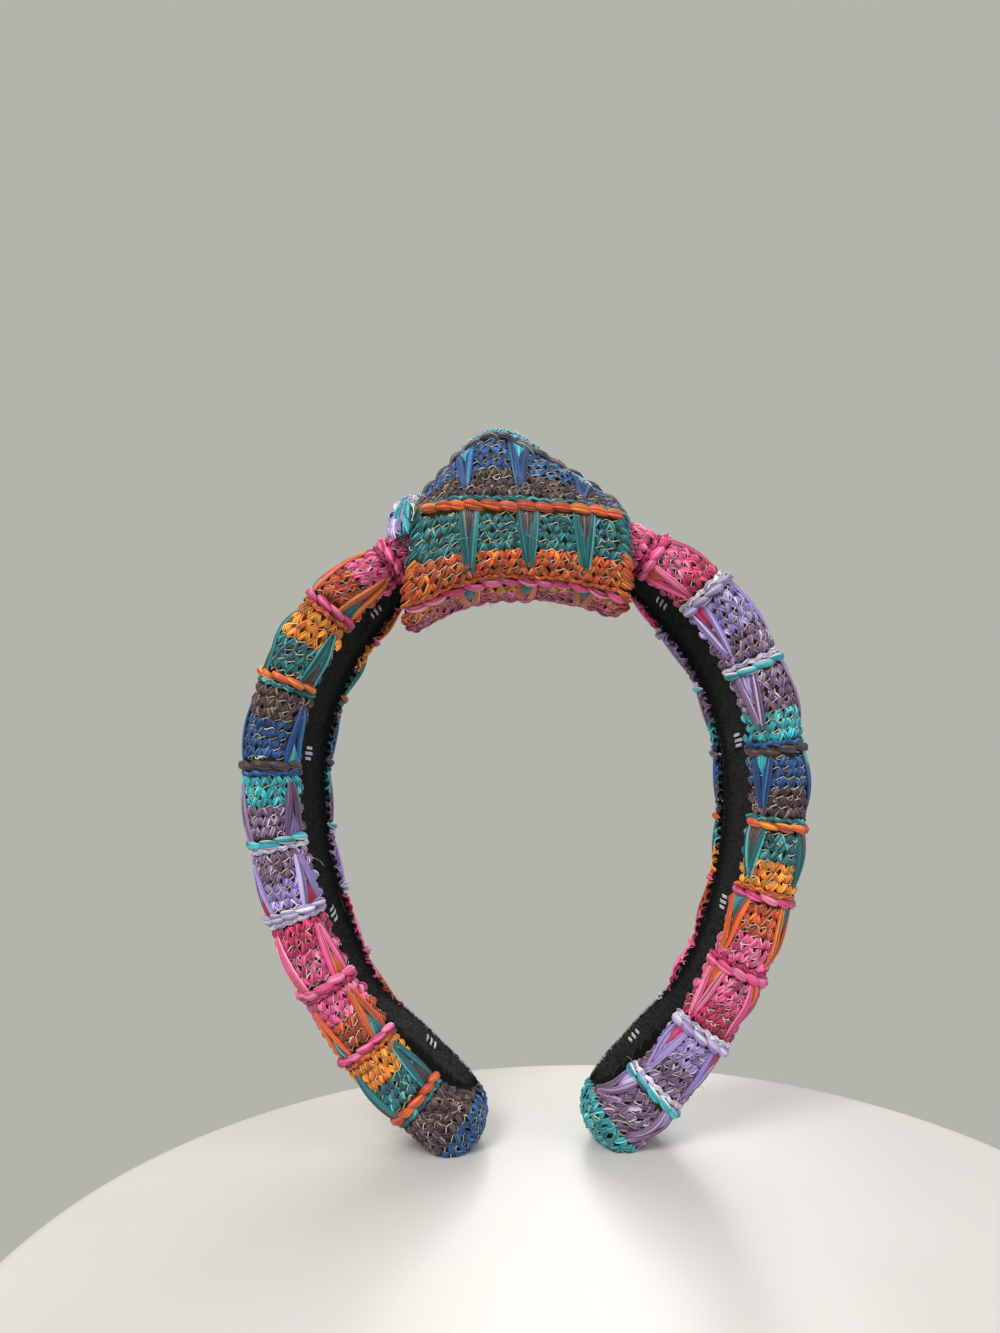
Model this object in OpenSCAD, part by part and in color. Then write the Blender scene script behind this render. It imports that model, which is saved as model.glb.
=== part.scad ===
// Knotted headband: a flexible core strip, domed foam, a woven backing cloth and a crocheted
// cover, with a velvet lining inside and a crocheted wrap knotted round the crown.
// It stands on its two tips: z = 0 is the surface, +Z is up, +X is to the wearer's side and
// +Y is the edge of the band with the smaller circumference. Millimetres.

/* [Band curve] */
// Half of the inside width at the widest place
half_span = 62; // [58:0.5:66]
// Height of the widest place above the surface that the tips stand on
widest_z = 100; // [99.8:0.1:100.2]
// Inside radius of the arc over the crown
crown_r = 53; // [50:0.5:56]
// Inside radius of the two arcs beside the crown
side_r = 66; // [64:0.5:72]
// Inside radius of the two long arcs below the widest place
lower_r = 112; // [108:1:116]
// Angle that each lower arc turns through before the tip
lower_turn = 51.5; // [50:0.25:52]

/* [Band section] */
// Width of the padded band from edge to edge
band_w = 36; // [34:0.5:40]
// Width of the padded band at its tips
tip_w = 27; // [25:0.5:30]
// Height of the padding above the lining's face
dome_h = 12.6; // [12:0.1:14]
// Height by which the two padded edges stand past the lining's face
roll_h = 4; // [3:0.1:4.5]
// Slope of the section, which makes one edge of the band smaller than the other
cone = 0.24; // [0:0.01:0.26]
// Thickness of the crocheted cover
cover_t = 2; // [1.8:0.1:2.2]

/* [Core and lining] */
// Thickness of the core strip
core_t = 2.1; // [1.8:0.1:2.2]
// Thickness of the velvet lining
lining_t = 1; // [0.8:0.1:1.1]

/* [Knot] */
// Half of the knot's length across the crown
knot_half = 29; // [28:0.5:30]
// Half of the knot's depth from front to back
knot_depth = 21.5; // [21:0.25:23]
// Height of the knot's peak
peak_z = 198.4; // [196.8:0.2:199.6]
// Place of the peak to one side of the middle
peak_x = -6; // [-8:0.5:0]
// Height of the fold where the front face leans back
fold_z = 170.8; // [168.8:0.5:171.8]
// Height of the knot's underside at the middle
under_z = 151; // [150.4:0.1:152.2]

/* [Flex] */
// Angle from the top of the band to each flexing place
flex_angle = 24; // [22:0.5:25]
// Gap left in the soft layers at each flexing place
flex_gap = 3; // [3:0.25:4]

/* [Trim] */
// Distance between the raised ridges, measured along the lining
ridge_pitch = 19.5; // [18:0.5:21]
// Distance from the top of the band to the first ridge on each arm
ridge_start = 53.4; // [50:0.2:55]
// Height of a ridge above the cover
ridge_h = 1.9; // [1.4:0.1:2.2]
// Distance between the seam stitches
stitch_pitch = 7; // [6:0.5:10]
// Thickness of the flat seam folded under each tip
tip_seam_t = 1; // [0.8:0.1:1]

/* [Hidden] */

// The layers of the band, as depths below the cover's outer surface
backing_in = cover_t + 0.1;
backing_out = cover_t + 0.5;
foam_in = cover_t + 0.6;
// Part of the half width that the channel for the lining takes
channel_part = 0.53;
// Roundness of the padded section: 1 is a true ellipse and less is squarer
section_power = 0.87;
// Near the tips the section is squarer, so that the band stands on broad feet
tip_power_drop = 0.25;
tip_power_len = 30;
tip_end_power = 2.6;
// Clearance of the lining and the core from the sides of their channel
side_gap = 0.3;
core_h = lining_t + 0.25;
foam_h = core_h + core_t + 0.25;

// The three arcs of one side of the band meet without a corner
side_cx = half_span - side_r;
crown_rise = sqrt(pow(side_r - crown_r, 2) - pow(side_cx, 2));
crown_cz = widest_z + crown_rise;
side_top_angle = atan2(crown_rise, -side_cx);
crown_len = crown_r * (90 - side_top_angle) * PI / 180;
side_len = side_r * side_top_angle * PI / 180;
lower_len = lower_r * lower_turn * PI / 180;
arm_end = crown_len + side_len + lower_len;
flex_s = crown_len + side_r * (side_top_angle - 90 + flex_angle) * PI / 180;

// The band is squeezed between these two distances from the top, where the knot holds it
squeeze_full = 28;
squeeze_none = 56;
squeeze_w = 2;
squeeze_h = 1.4;
squeeze_roll = 2;
squeeze_cone = 0.16;
// The band narrows from this distance to its tips
narrow_from = 80;
tip_dome_rise = 2.6;
tip_roll_drop = 1;
tip_cone_drop = 0.22;
tip_round = 9;
// The flat seam under a tip: its two ends, measured from the middle, and its half width
tip_seam_near = 18;
tip_seam_far = 28.2;
tip_seam_half = 11.8;

ring_step = 5.6;
side_fold_rings = 12;
rim_points = 13;
tip_points = 28;
tip_rings = 7;

knot_rings = 14;
knot_points = 28;
knot_slope = 0.9;
knot_steep = 1.3;
knot_blunt = 8;
knot_sag = 5;
knot_fold_drop = 3;
knot_fold_lift = 3;
ridge_count = 8;
// Directions round the knot's section of the ridges that run along it
knot_ridge_angles = [58, 3, -58, 122, 177, 238];
tack_places = [46, 92, 138, 184];

function clamp01(t) = min(1, max(0, t));
function ease(t) = let (u = clamp01(t)) u * u * (3 - 2 * u);
function mix(a, b, t) = a + (b - a) * t;
function signed_power(x, p) = sign(x) * pow(abs(x), p);
function squeeze(s) = 1 - ease((abs(s) - squeeze_full) / (squeeze_none - squeeze_full));
function narrow(s) = ease((abs(s) - narrow_from) / (arm_end - narrow_from));

// Half width, dome height, roll height, slope and channel of the section at distance s
function half_w(s) = mix(band_w / 2, tip_w / 2, narrow(s)) - squeeze_w * squeeze(s);
function dome(s) = dome_h - squeeze_h * squeeze(s) + tip_dome_rise * narrow(s);
function roll(s) = roll_h - squeeze_roll * squeeze(s) - tip_roll_drop * narrow(s);
function slope(s) = cone - squeeze_cone * squeeze(s) - tip_cone_drop * narrow(s);
function channel(s) = channel_part * half_w(s);
function power(s) =
    section_power - tip_power_drop * ease((abs(s) - arm_end + tip_power_len) / tip_power_len);

// Direction of the band's outward normal above the horizontal, at distance s from the top
function lean(s) =
    let (d = abs(s))
    d < crown_len ? 90 - d / crown_r * 180 / PI :
    d < crown_len + side_len ? side_top_angle - (d - crown_len) / side_r * 180 / PI :
    -(d - crown_len - side_len) / lower_r * 180 / PI;

// Point of the band: s along the lining, v towards +Y, h outwards from the lining's face.
// A negative s is on the left arm. past goes on straight beyond s.
function place(s, v, h, past = 0) =
    let (
        a = lean(s),
        r = a > side_top_angle ? crown_r : a > 0 ? side_r : lower_r,
        cx = a > side_top_angle ? 0 : a > 0 ? side_cx : half_span - lower_r,
        cz = a > side_top_angle ? crown_cz : widest_z,
        out = r + h - slope(s) * v
    )
    [(s < 0 ? -1 : 1) * (cx + out * cos(a) + past * sin(a)), v, cz + out * sin(a) - past * cos(a)];

// Outline of the padded section at depth t below the cover's surface, in direction a
function rim(s, t, a) =
    let (top = dome(s) - t, low = t - roll(s), half = (top - low) / 2)
    [(half_w(s) - t) * signed_power(cos(a), power(s)),
     (top + low) / 2 + half * signed_power(sin(a), power(s))];

// Direction in which the outline at depth t reaches the channel's side
function edge_angle(s, t) = acos(pow(channel(s) / (half_w(s) - t), 1 / power(s)));

function rim_arc(s, t) =
    let (e = edge_angle(s, t))
    [for (i = [0:rim_points - 1]) rim(s, t, mix(-e, 180 + e, i / (rim_points - 1)))];

function reversed(list) = [for (i = [len(list) - 1:-1:0]) list[i]];
function placed(s, profile) = [for (p = profile) place(s, p[0], p[1])];
function steps(from, to, count) = [for (i = [0:count]) mix(from, to, i / count)];

// Places of the rings along the band: every layer has its rings at the same places
function stations(from, to) = concat(
    [from],
    [for (s = [ring_step * ceil((from + 1) / ring_step):ring_step:to - 1]) s],
    [to]
);

function shell_profile(s, outer, inner) = concat(rim_arc(s, outer), reversed(rim_arc(s, inner)));
function foam_profile(s) =
    concat(rim_arc(s, foam_in), [[-channel(s), foam_h], [channel(s), foam_h]]);
function strip_profile(s, low, high, gap) =
    let (w = channel(s) - gap)
    [[w, low], [w, high], [-w, high], [-w, low]];

// Faces that close a ring of n points: a folded ring runs out along one side and back
// along the other, so it is closed by a strip from side to side
function end_faces(n, folded) =
    folded
        ? [for (i = [0:n / 2 - 2]) [i, i + 1, n - 2 - i, n - 1 - i]]
        : [[for (i = [0:n - 1]) i]];

// Skin through a list of closed rings with the same number of points
module skin(rings, folded = false) {
    n = len(rings[0]);
    last = (len(rings) - 1) * n;
    start_faces = end_faces(n, folded);
    polyhedron(
        points = [for (ring = rings) each ring],
        faces = concat(
            start_faces,
            [for (k = [0:len(rings) - 2], i = [0:n - 1])
                let (a = k * n + i, b = k * n + (i + 1) % n)
                each [[a, b + n, b], [a, a + n, b + n]]],
            [for (face = start_faces) [for (i = reversed(face)) last + i]]
        ),
        convexity = 8
    );
}

module shell_sweep(from, to, outer, inner) {
    skin([for (s = stations(from, to)) placed(s, shell_profile(s, outer, inner))], true);
}

module foam_sweep(from, to) {
    skin([for (s = stations(from, to)) placed(s, foam_profile(s))]);
}

module strip_sweep(from, to, low, high, gap) {
    skin([for (s = stations(from, to)) placed(s, strip_profile(s, low, high, gap))]);
}

// A stretch of one arm: side is -1 for the left arm and 1 for the right arm.
// The rings always run towards +s, so that every skin faces outwards.
function arm_from(side, near, far) = side < 0 ? -far : near;
function arm_to(side, near, far) = side < 0 ? -near : far;

module arm_core(side) {
    near = flex_s + 0.4;
    far = arm_end - 3;
    color("dimgray")
        strip_sweep(arm_from(side, near, far), arm_to(side, near, far),
            core_h, core_h + core_t, side_gap);
}

module arm_foam(side) {
    near = flex_s + flex_gap / 2;
    far = arm_end - 0.6;
    color("lightyellow")
        foam_sweep(arm_from(side, near, far), arm_to(side, near, far));
}

module arm_backing(side) {
    near = flex_s + flex_gap / 2;
    far = arm_end - 0.3;
    color("tan")
        shell_sweep(arm_from(side, near, far), arm_to(side, near, far),
            backing_in, backing_out);
}

module arm_cover(side) {
    near = flex_s + flex_gap / 2;
    color(side < 0 ? "mediumvioletred" : "teal")
        shell_sweep(arm_from(side, near, arm_end), arm_to(side, near, arm_end), 0, cover_t);
}

module arm_lining(side) {
    near = flex_s + flex_gap / 2;
    far = arm_end - 0.6;
    color("black")
        strip_sweep(arm_from(side, near, far), arm_to(side, near, far),
            0, lining_t, side_gap);
}

// One ring of the folded end of the cover, past the end of the arm: q goes from 0 to 1
function tip_ring(side, q) =
    let (
        s = side * arm_end,
        f = pow(1 - pow(q, tip_end_power), 1 / tip_end_power),
        mid = (dome(s) - roll(s)) / 2
    )
    [for (i = [0:tip_points - 1])
        let (p = rim(s, 0, i * 360 / tip_points))
        place(s, p[0] * f, mid + (p[1] - mid) * f, 0.3 + tip_round * q)];

module arm_tip_fold(side) {
    rings = [for (q = steps(0, 1, tip_rings)) tip_ring(side, sin(88 * q))];
    color(side < 0 ? "royalblue" : "mediumturquoise")
        difference() {
            skin(side < 0 ? reversed(rings) : rings);
            // The underside lies flat on the seam
            translate([-half_span, -band_w, -band_w])
                cube([2 * half_span, 2 * band_w, band_w + tip_seam_t + 0.15]);
        }
}

// The edge of the cover, folded flat and stitched under the tip, which rests on the surface
module arm_tip_seam(side) {
    edge = 0.3;
    rings = [for (grow = [0, edge])
        let (near = tip_seam_near - grow,
             far = tip_seam_far + grow / 3,
             half = tip_seam_half + grow,
             z = tip_seam_t * grow / edge)
        [for (p = [[far, -half], [far, half], [near, half], [near, -half]]) [side * p[0], p[1], z]]];
    color(side < 0 ? "royalblue" : "mediumturquoise")
        skin(side < 0 ? reversed(rings) : rings);
}

// Raised ridges of surface crochet across the cover
module arm_ridges(side) {
    foot = 0.1;
    half = ridge_h * 0.6;
    color("darkorange")
        for (k = [0:ridge_count - 1])
            skin([for (d = [-half, -half / 2, half / 2, half])
                let (s = side * (ridge_start + k * ridge_pitch) + d,
                     tall = ridge_h * (abs(d) < half ? 1 : 0.5))
                placed(s, shell_profile(s, -tall, -foot))], true);
}

// A straight thread on the lining's face: along turns it from the band's length to its width
module thread(s, v, length, along) {
    at = place(s, v, 0);
    turn = (s < 0 ? -1 : 1) * (90 - lean(s));
    bar = [along ? length : 0.7, along ? 0.7 : length, 0.6];
    tilt = atan(slope(s));
    translate(at)
        rotate([0, turn, 0])
            rotate([-tilt, 0, 0])
                translate([0, 0, -0.55])
                    cube(bar, center = true);
}

module arm_seam_stitches(side) {
    color("black")
        for (s = [flex_s + 10:stitch_pitch:arm_end - 4], edge = [-1, 1])
            thread(side * s, edge * (channel(s) - 1.2), 3.2, true);
}

// Plain pairs of short stitches that hold the lining to the core
module arm_bar_tacks(side) {
    color("white")
        for (s = tack_places, offset = [-1, 1])
            thread(side * (s + offset), (s % 4 == 0 ? 1 : -1) * 2, 4, false);
}

module left_core() { arm_core(-1); }
module left_foam() { arm_foam(-1); }
module left_backing() { arm_backing(-1); }
module left_cover() { arm_cover(-1); }
module left_lining() { arm_lining(-1); }
module left_tip_fold() { arm_tip_fold(-1); }
module left_tip_seam() { arm_tip_seam(-1); }
module left_ridges() { arm_ridges(-1); }
module left_seam_stitches() { arm_seam_stitches(-1); }
module left_bar_tacks() { arm_bar_tacks(-1); }
module right_core() { arm_core(1); }
module right_foam() { arm_foam(1); }
module right_backing() { arm_backing(1); }
module right_cover() { arm_cover(1); }
module right_lining() { arm_lining(1); }
module right_tip_fold() { arm_tip_fold(1); }
module right_tip_seam() { arm_tip_seam(1); }
module right_ridges() { arm_ridges(1); }
module right_seam_stitches() { arm_seam_stitches(1); }
module right_bar_tacks() { arm_bar_tacks(1); }

module crown_core() {
    far = flex_s - 0.4;
    color("dimgray")
        strip_sweep(-far, far, core_h, core_h + core_t, side_gap);
}

module crown_foam() {
    far = flex_s - flex_gap / 2;
    color("lightyellow")
        foam_sweep(-far, far);
}

module crown_cover() {
    far = flex_s - flex_gap / 2;
    color("hotpink")
        shell_sweep(-far, far, 0, cover_t);
}

module crown_lining() {
    far = flex_s - flex_gap / 2;
    color("black")
        strip_sweep(-far, far, 0, lining_t, side_gap);
}

// Heights of the knot's peak line, front fold and underside at place x
function knot_top(x) =
    let (d = x - peak_x, m = d < 0 ? knot_steep : knot_slope)
    peak_z - m * (sqrt(d * d + knot_blunt * knot_blunt) - knot_blunt);
function knot_fold(x) =
    fold_z - knot_fold_drop * pow(x / knot_half, 2) + knot_fold_lift * ease(-x / knot_half);
function knot_under(x) = under_z - knot_sag * pow(x / knot_half, 2);

// Point of the knot's section at depth t below its surface, in direction a
function knot_point(x, t, a) =
    let (
        up = sin(a) > 0,
        power = up ? 1.15 : 0.5,
        reach = up ? knot_top(x) - t - knot_fold(x) : knot_fold(x) - knot_under(x) - t
    )
    [x, (knot_depth - t) * signed_power(cos(a), power),
     knot_fold(x) + reach * signed_power(sin(a), power)];

function knot_ring(x, t) =
    [for (i = [0:knot_points - 1]) knot_point(x, t, i * 360 / knot_points)];

module knot_solid(half, t) {
    skin([for (x = steps(-half, half, knot_rings)) knot_ring(x, t)]);
}

module knot_wrap() {
    color("darkcyan")
        difference() {
            knot_solid(knot_half, 0);
            knot_solid(knot_half + 1, cover_t);
        }
}

module knot_backing() {
    half = knot_half - 0.5;
    color("tan")
        difference() {
            knot_solid(half, backing_in);
            knot_solid(half + 1, backing_out);
        }
}

// Wadding that fills the peak of the knot above the band
module knot_filler() {
    reach = squeeze_full + 10;
    half = knot_half * 0.72;
    color("ivory")
        difference() {
            knot_solid(half, foam_in + 0.3);
            skin([for (s = stations(-reach, reach))
                [for (i = [0:tip_points - 1])
                    let (p = rim(s, -0.5, i * 360 / tip_points)) place(s, p[0], p[1])]]);
            translate([-knot_half, -band_w, 0])
                cube([2 * knot_half, 2 * band_w, fold_z]);
        }
}

// A cord through a list of points that runs along +X, with a radius
module cord_along_x(points, radius) {
    sides = 8;
    skin([for (p = points)
        [for (i = [0:sides - 1])
            let (a = i * 360 / sides) p + radius * [0, cos(a), sin(a)]]]);
}

module knot_ridges() {
    radius = ridge_h / 2 + 0.15;
    half = knot_half - 0.6;
    color("darkorange")
        for (a = knot_ridge_angles)
            cord_along_x([for (x = steps(-half, half, knot_rings))
                knot_point(x, -radius - 0.1, a)], radius);
}

// A second fold of the cover that stands at the left mouth of the knot, over the arm
module knot_side_fold() {
    centre = [-31.8, 0, fold_z - 12.4];
    reach = [20.4, 19.6];
    radius = 2.4;
    sides = 12;
    color("plum")
        skin([for (a = steps(40, 160, side_fold_rings))
            [for (i = [0:sides - 1])
                let (b = i * 360 / sides, out = radius * cos(b))
                centre + [radius * sin(b), (reach[0] + out) * cos(a), (reach[1] + out) * sin(a)]]]);
}

// Hand stitches that close the wrap on its underside
module knot_closing_stitches() {
    color("saddlebrown")
        for (x = [-20:5:20])
            translate([x, knot_depth / 2, knot_under(x) - 0.45])
                cube([0.9, 4, 0.8], center = true);
}

crown_core();
crown_foam();
crown_cover();
crown_lining();
knot_wrap();
knot_backing();
knot_filler();
knot_ridges();
knot_side_fold();
knot_closing_stitches();
left_core();
left_foam();
left_backing();
left_cover();
left_lining();
left_tip_fold();
left_tip_seam();
left_ridges();
left_seam_stitches();
left_bar_tacks();
right_core();
right_foam();
right_backing();
right_cover();
right_lining();
right_tip_fold();
right_tip_seam();
right_ridges();
right_seam_stitches();
right_bar_tacks();
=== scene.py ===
import math

import bpy
import numpy as np
from mathutils import Matrix, Vector


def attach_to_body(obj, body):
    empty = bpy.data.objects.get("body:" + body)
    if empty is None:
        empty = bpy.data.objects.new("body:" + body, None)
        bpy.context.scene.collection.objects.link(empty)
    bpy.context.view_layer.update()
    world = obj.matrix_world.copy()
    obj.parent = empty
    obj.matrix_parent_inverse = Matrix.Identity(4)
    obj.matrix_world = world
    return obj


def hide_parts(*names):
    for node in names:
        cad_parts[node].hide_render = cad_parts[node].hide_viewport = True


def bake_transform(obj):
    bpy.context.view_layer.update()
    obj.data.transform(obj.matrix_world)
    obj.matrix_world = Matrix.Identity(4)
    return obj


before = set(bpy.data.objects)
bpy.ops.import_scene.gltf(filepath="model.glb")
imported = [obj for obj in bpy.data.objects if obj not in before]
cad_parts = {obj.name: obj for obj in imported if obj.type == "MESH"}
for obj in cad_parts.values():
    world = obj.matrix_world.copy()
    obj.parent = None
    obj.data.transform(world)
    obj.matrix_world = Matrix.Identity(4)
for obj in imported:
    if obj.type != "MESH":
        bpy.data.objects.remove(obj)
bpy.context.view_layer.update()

MM = 0.001
rng = np.random.default_rng(7)

# ---------------------------------------------------------------- the band's and knot's shape
# The same shape values as the CAD source, in millimetres.
HALF_SPAN, WIDEST_Z = 62.0, 100.0
CROWN_R, SIDE_R, LOWER_R, LOWER_TURN = 53.0, 66.0, 112.0, 51.5
BAND_W, TIP_W, DOME_H, ROLL_H, CONE = 36.0, 27.0, 12.6, 4.0, 0.24
CHANNEL_PART, SECTION_POWER, TIP_POWER_DROP, TIP_POWER_LEN = 0.53, 0.87, 0.25, 30.0
SQUEEZE_FULL, SQUEEZE_NONE = 28.0, 56.0
SQUEEZE_W, SQUEEZE_H, SQUEEZE_ROLL, SQUEEZE_CONE = 2.0, 1.4, 2.0, 0.16
NARROW_FROM, TIP_DOME_RISE, TIP_ROLL_DROP, TIP_CONE_DROP = 80.0, 2.6, 1.0, 0.22
TIP_ROUND, TIP_END_POWER = 9.0, 2.6
KNOT_HALF, KNOT_DEPTH, PEAK_Z, PEAK_X, FOLD_Z, UNDER_Z = 29.0, 21.5, 198.4, -6.0, 170.8, 151.0
KNOT_STEEP, KNOT_SLOPE, KNOT_BLUNT, KNOT_SAG, KNOT_FOLD_DROP = 1.3, 0.9, 8.0, 5.0, 3.0
KNOT_FOLD_LIFT = 3.0
TONGUE = 3.9  # how far the lining stands out over the stitches at a tip

SIDE_CX = HALF_SPAN - SIDE_R
CROWN_RISE = math.sqrt((SIDE_R - CROWN_R) ** 2 - SIDE_CX ** 2)
CROWN_CZ = WIDEST_Z + CROWN_RISE
SIDE_TOP = math.atan2(CROWN_RISE, -SIDE_CX)
CROWN_LEN = CROWN_R * (math.pi / 2 - SIDE_TOP)
SIDE_LEN = SIDE_R * SIDE_TOP
ARM_END = CROWN_LEN + SIDE_LEN + LOWER_R * math.radians(LOWER_TURN)
CAP_LEN = 12.5  # length of the rounded end along its surface


def ease(t):
    u = np.clip(t, 0, 1)
    return u * u * (3 - 2 * u)


def mix(a, b, t):
    return a + (b - a) * t


def spow(x, p):
    return np.sign(x) * np.abs(x) ** p


def unit(v):
    return v / np.maximum(np.linalg.norm(v, axis=-1, keepdims=True), 1e-9)


def section(d):
    """Half width, dome, roll, slope and roundness of the band at distance d from its top."""
    squeeze = 1 - ease((d - SQUEEZE_FULL) / (SQUEEZE_NONE - SQUEEZE_FULL))
    narrow = ease((d - NARROW_FROM) / (ARM_END - NARROW_FROM))
    half = mix(BAND_W / 2, TIP_W / 2, narrow) - SQUEEZE_W * squeeze
    dome = DOME_H - SQUEEZE_H * squeeze + TIP_DOME_RISE * narrow
    roll = ROLL_H - SQUEEZE_ROLL * squeeze - TIP_ROLL_DROP * narrow
    slope = CONE - SQUEEZE_CONE * squeeze - TIP_CONE_DROP * narrow
    power = SECTION_POWER - TIP_POWER_DROP * ease((d - ARM_END + TIP_POWER_LEN) / TIP_POWER_LEN)
    return half, dome, roll, slope, power


def place(s, v, h, past=0.0):
    """Point of the band: s along the lining, v towards +Y, h outwards from the lining's face."""
    d = np.abs(s)
    lean = np.where(
        d < CROWN_LEN, math.pi / 2 - d / CROWN_R,
        np.where(d < CROWN_LEN + SIDE_LEN, SIDE_TOP - (d - CROWN_LEN) / SIDE_R,
                 -(d - CROWN_LEN - SIDE_LEN) / LOWER_R))
    on_crown, on_side = lean > SIDE_TOP, lean > 0
    r = np.where(on_crown, CROWN_R, np.where(on_side, SIDE_R, LOWER_R))
    cx = np.where(on_crown, 0.0, np.where(on_side, SIDE_CX, HALF_SPAN - LOWER_R))
    cz = np.where(on_crown, CROWN_CZ, WIDEST_Z)
    out = r + h - section(d)[3] * v
    x = cx + out * np.cos(lean) + past * np.sin(lean)
    z = cz + out * np.sin(lean) - past * np.cos(lean)
    return np.stack([np.where(s < 0, -x, x), v + 0 * x, z], axis=-1)


def angle_table(curve, rows, first, last, columns=49, fine=361):
    """Angles that split curve(row, angle) into equal lengths, for each row."""
    share = np.linspace(0, 1, fine)
    table = []
    for row in rows:
        a = mix(first(row), last(row), share)
        p = curve(row, a)
        along = np.concatenate([[0], np.cumsum(np.linalg.norm(np.diff(p, axis=0), axis=1))])
        table.append(np.interp(np.linspace(0, along[-1], columns), along, a))
    return np.array(table)


def look_up(table, i, j):
    """Value of the table between its rows and columns."""
    i = np.clip(i, 0, table.shape[0] - 1.001)
    j = np.clip(j, 0, table.shape[1] - 1.001)
    i0, j0 = i.astype(int), j.astype(int)
    fi, fj = i - i0, j - j0
    top = table[i0, j0] * (1 - fj) + table[i0, j0 + 1] * fj
    low = table[i0 + 1, j0] * (1 - fj) + table[i0 + 1, j0 + 1] * fj
    return top * (1 - fi) + low * fi


def edge_angle(d):
    """Angle at which the crochet ends beside the lining; it closes round the lining's end."""
    power = section(min(d, ARM_END))[4]
    closed = min(max((d - ARM_END + 9.0) / 9.0, 0.0), 0.9995)
    return math.acos((CHANNEL_PART * math.sqrt(1 - closed ** 2)) ** (1 / power))


def rim(d, a):
    """The band's outline at distance d: sideways and outwards at angle a."""
    half, dome, roll, _, power = section(d)
    mid, tall = (dome - roll) / 2, (dome + roll) / 2
    return half * spow(np.cos(a), power), mid + tall * spow(np.sin(a), power)


BAND_ROWS = np.linspace(0, ARM_END + CAP_LEN, 141)
# u runs from the near edge (-Y) over the dome to the far edge (+Y)
BAND_ANGLES = angle_table(
    lambda d, a: np.stack(rim(min(d, ARM_END), a), axis=-1), BAND_ROWS,
    lambda d: math.pi + edge_angle(d), lambda d: -edge_angle(d))


def band_raw(s, u):
    """Points of the band's outer surface before it is softened."""
    d = np.abs(s)
    a = look_up(BAND_ANGLES, d / BAND_ROWS[-1] * (len(BAND_ROWS) - 1),
                np.clip(u, 0, 1) * (BAND_ANGLES.shape[1] - 1))
    inside = np.minimum(d, ARM_END)
    over = np.clip((d - ARM_END) / CAP_LEN, 0, 1)
    q = np.sin(math.radians(88) * over)
    f = (1 - q ** TIP_END_POWER) ** (1 / TIP_END_POWER)
    v, h = rim(inside, a)
    _, dome, roll, _, _ = section(inside)
    mid = (dome - roll) / 2
    signed = np.where(s < 0, -inside, inside)
    return place(signed, v * f, mid + (h - mid) * f, TIP_ROUND * q)


def band(s, u):
    """Points and outward normals of the band's outer surface, with a slow unevenness of the padding."""
    s, u = np.broadcast_arrays(np.asarray(s, float), np.asarray(u, float))
    e, g = 0.4, 0.004
    p = band_raw(s, u)
    ds = band_raw(s + e, u) - band_raw(s - e, u)
    du = band_raw(s, np.clip(u + g, 0, 1)) - band_raw(s, np.clip(u - g, 0, 1))
    n = unit(np.cross(ds, du))
    inside = np.minimum(np.abs(s), ARM_END)
    _, dome, roll, _, _ = section(inside)
    centre = place(np.where(s < 0, -inside, inside), 0 * s, (dome - roll) / 2)
    n *= np.sign(((p - centre) * n).sum(-1, keepdims=True) + 1e-12)
    return p + n * soft(p, 0.45)[..., None], n


def knot_lines(x):
    """Heights of the knot's peak, front fold and underside."""
    d = x - PEAK_X
    m = np.where(d < 0, KNOT_STEEP, KNOT_SLOPE)
    top = PEAK_Z - m * (np.sqrt(d * d + KNOT_BLUNT ** 2) - KNOT_BLUNT)
    fold = FOLD_Z - KNOT_FOLD_DROP * (x / KNOT_HALF) ** 2 + KNOT_FOLD_LIFT * ease(-x / KNOT_HALF)
    under = UNDER_Z - KNOT_SAG * (x / KNOT_HALF) ** 2
    return top, fold, under


def knot_section(x, a):
    """The knot's outline at x; towards its mouths the underside droops and the front slants."""
    top, fold, under = knot_lines(x)
    up = np.sin(a) > 0
    power = np.where(up, 1.15, 0.5)
    reach = np.where(up, top - fold, fold - under)
    y = KNOT_DEPTH * spow(np.cos(a), power)
    z = fold + reach * spow(np.sin(a), power)
    low = np.clip((fold - z) / (fold - under), 0, 1)
    droop = 3.4 * ease((-x - 12) / 17) + 1.2 * ease((x - 12) / 17)
    slant = 2.6 * ease((-x - 10) / 19) * (1 - 1.9 * low)
    return np.stack([x + slant, y, z - droop * low], axis=-1)


# The ridges along the knot, as directions round it: the fabric runs from the peak down the front
KNOT_RIDGES = np.radians([122, 177, 238, 302, 363, 418, 482])
KNOT_ROWS = np.linspace(-KNOT_HALF - 1, KNOT_HALF + 1, 61)
KNOT_ANGLES = [
    angle_table(lambda x, a: knot_section(x, a), KNOT_ROWS,
                lambda x, k=k: KNOT_RIDGES[k], lambda x, k=k: KNOT_RIDGES[k + 1], columns=25)
    for k in range(6)]


def knot_raw(x, u):
    u = np.mod(u, 6)
    k = np.minimum(u.astype(int), 5)
    i = (x + KNOT_HALF + 1) / (2 * KNOT_HALF + 2) * (len(KNOT_ROWS) - 1)
    a = np.zeros_like(u)
    for block in range(6):
        here = k == block
        a[here] = look_up(KNOT_ANGLES[block], i[here], (u[here] - block) * 24)
    return knot_section(x, a)


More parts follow.
